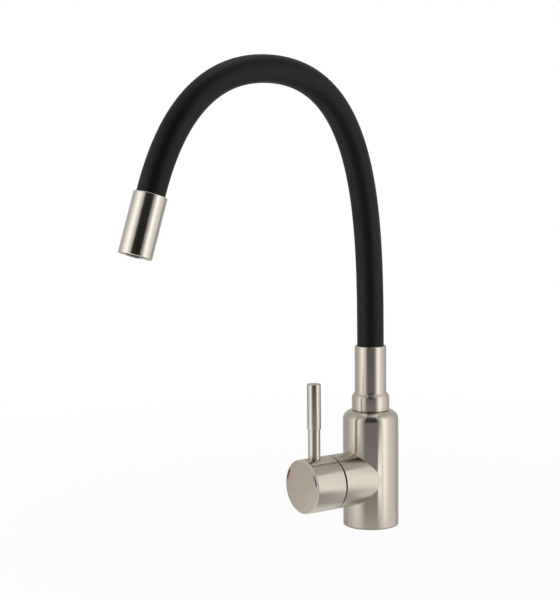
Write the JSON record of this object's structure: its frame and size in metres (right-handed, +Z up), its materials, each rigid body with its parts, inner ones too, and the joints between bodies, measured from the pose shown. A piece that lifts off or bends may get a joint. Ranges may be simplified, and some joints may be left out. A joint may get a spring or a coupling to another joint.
{
  "type": "kitchen mixer tap",
  "caption": "Single-lever sink mixer with a bottle-shaped brushed nickel body, a side branch with round handle cap and pin lever, and a black flexible arched spout.",
  "frame": {"origin": "centre of the body's round underside, on the deck", "axes": "+Z up along the body's axis; the branch and the spout point to -Y, towards the user; +X to the user's right"},
  "size_m": [0.05, 0.2807, 0.4184],
  "materials": {
    "brushed_nickel": "brushed satin nickel on brass",
    "polished_nickel": "finely brushed nickel",
    "plain_brass": "machined",
    "stainless_steel": "plain",
    "black_silicone": "matte silicone",
    "black_rubber": "moulded rubber",
    "white_ceramic": "lapped",
    "ivory_plastic": "moulded",
    "grey_plastic": "moulded",
    "hose_rubber": "extruded hose",
    "red_enamel": "enamel fill",
    "blue_enamel": "enamel fill"
  },
  "bodies": {
    "tap": {"body_casting": "brushed_nickel", "base_gasket": "black_rubber", "cartridge_base": "ivory_plastic", "hot_port_seal": "black_rubber", "cold_port_seal": "black_rubber", "mixed_port_seal": "black_rubber", "fixed_ceramic_disc": "white_ceramic", "cartridge_shell": "ivory_plastic", "cartridge_nut": "plain_brass", "swivel_glide_ring": "ivory_plastic"},
    "mixing_rotor": {"cartridge_rotor": "grey_plastic", "stem_pivot_pin": "stainless_steel"},
    "sliding_disc": {"moving_ceramic_disc": "white_ceramic", "disc_carrier": "grey_plastic"},
    "handle": {"handle_cap": "brushed_nickel", "lever_pin": "brushed_nickel", "cartridge_stem": "stainless_steel", "cap_grub_screw": "stainless_steel", "hot_mark": "red_enamel", "cold_mark": "blue_enamel"},
    "spout_foot": {"neck_sleeve": "brushed_nickel", "spout_spigot": "plain_brass", "lower_o_ring": "black_rubber", "upper_o_ring": "black_rubber", "swivel_snap_ring": "stainless_steel", "sleeve_rise": "black_silicone", "gooseneck_rise": "stainless_steel", "water_hose_rise": "hose_rubber", "sleeve_lower_bend": "black_silicone", "gooseneck_lower_bend": "stainless_steel", "water_hose_lower_bend": "hose_rubber"},
    "spout_rear": {"sleeve_rear_arch": "black_silicone", "gooseneck_rear_arch": "stainless_steel", "water_hose_rear_arch": "hose_rubber", "sleeve_crown_bend": "black_silicone", "gooseneck_crown_bend": "stainless_steel", "water_hose_crown_bend": "hose_rubber"},
    "spout_front": {"sleeve_front_arch": "black_silicone", "gooseneck_front_arch": "stainless_steel", "water_hose_front_arch": "hose_rubber", "sleeve_outer_bend": "black_silicone", "gooseneck_outer_bend": "stainless_steel", "water_hose_outer_bend": "hose_rubber"},
    "spout_end": {"sleeve_drop": "black_silicone", "gooseneck_drop": "stainless_steel", "water_hose_drop": "hose_rubber", "outlet_shell": "polished_nickel", "outlet_adaptor": "plain_brass", "aerator_seal": "black_rubber", "aerator_housing": "polished_nickel", "aerator_insert": "grey_plastic"}
  },
  "joints": [
    {"name": "spout_swivel", "type": "hinge", "parent": "tap", "child": "spout_foot", "pos_m": [0, 0, 0.105], "axis": [0, 0, 1], "continuous": true},
    {"name": "temperature", "type": "hinge", "parent": "tap", "child": "mixing_rotor", "pos_m": [0, -0.029, 0.04465], "axis": [0, -1, 0], "range_deg": [-50, 50]},
    {"name": "flow", "type": "hinge", "parent": "mixing_rotor", "child": "handle", "pos_m": [0, -0.029, 0.04465], "axis": [1, 0, 0], "range_deg": [0, 22]},
    {"name": "disc_travel", "type": "slide", "parent": "mixing_rotor", "child": "sliding_disc", "axis": [0, 0, 1], "range_m": [0, 0.00325]},
    {"name": "lower_bend", "type": "hinge", "parent": "spout_foot", "child": "spout_rear", "pos_m": [0, -0.00137, 0.23786], "axis": [1, 0, 0], "range_deg": [-20, 20], "deforming": ["sleeve_lower_bend", "gooseneck_lower_bend", "water_hose_lower_bend"]},
    {"name": "crown_bend", "type": "hinge", "parent": "spout_rear", "child": "spout_front", "pos_m": [0, -0.11311, 0.40672], "axis": [0, 0, 1], "range_deg": [-30, 30], "deforming": ["sleeve_crown_bend", "gooseneck_crown_bend", "water_hose_crown_bend"]},
    {"name": "outer_bend", "type": "hinge", "parent": "spout_front", "child": "spout_end", "pos_m": [0, -0.18598, 0.37787], "axis": [1, 0, 0], "range_deg": [-35, 35], "deforming": ["sleeve_outer_bend", "gooseneck_outer_bend", "water_hose_outer_bend"]}
  ],
  "couplings": [
    {"joint": "disc_travel", "follows": "flow", "m_per_rad": 0.0084}
  ]
}
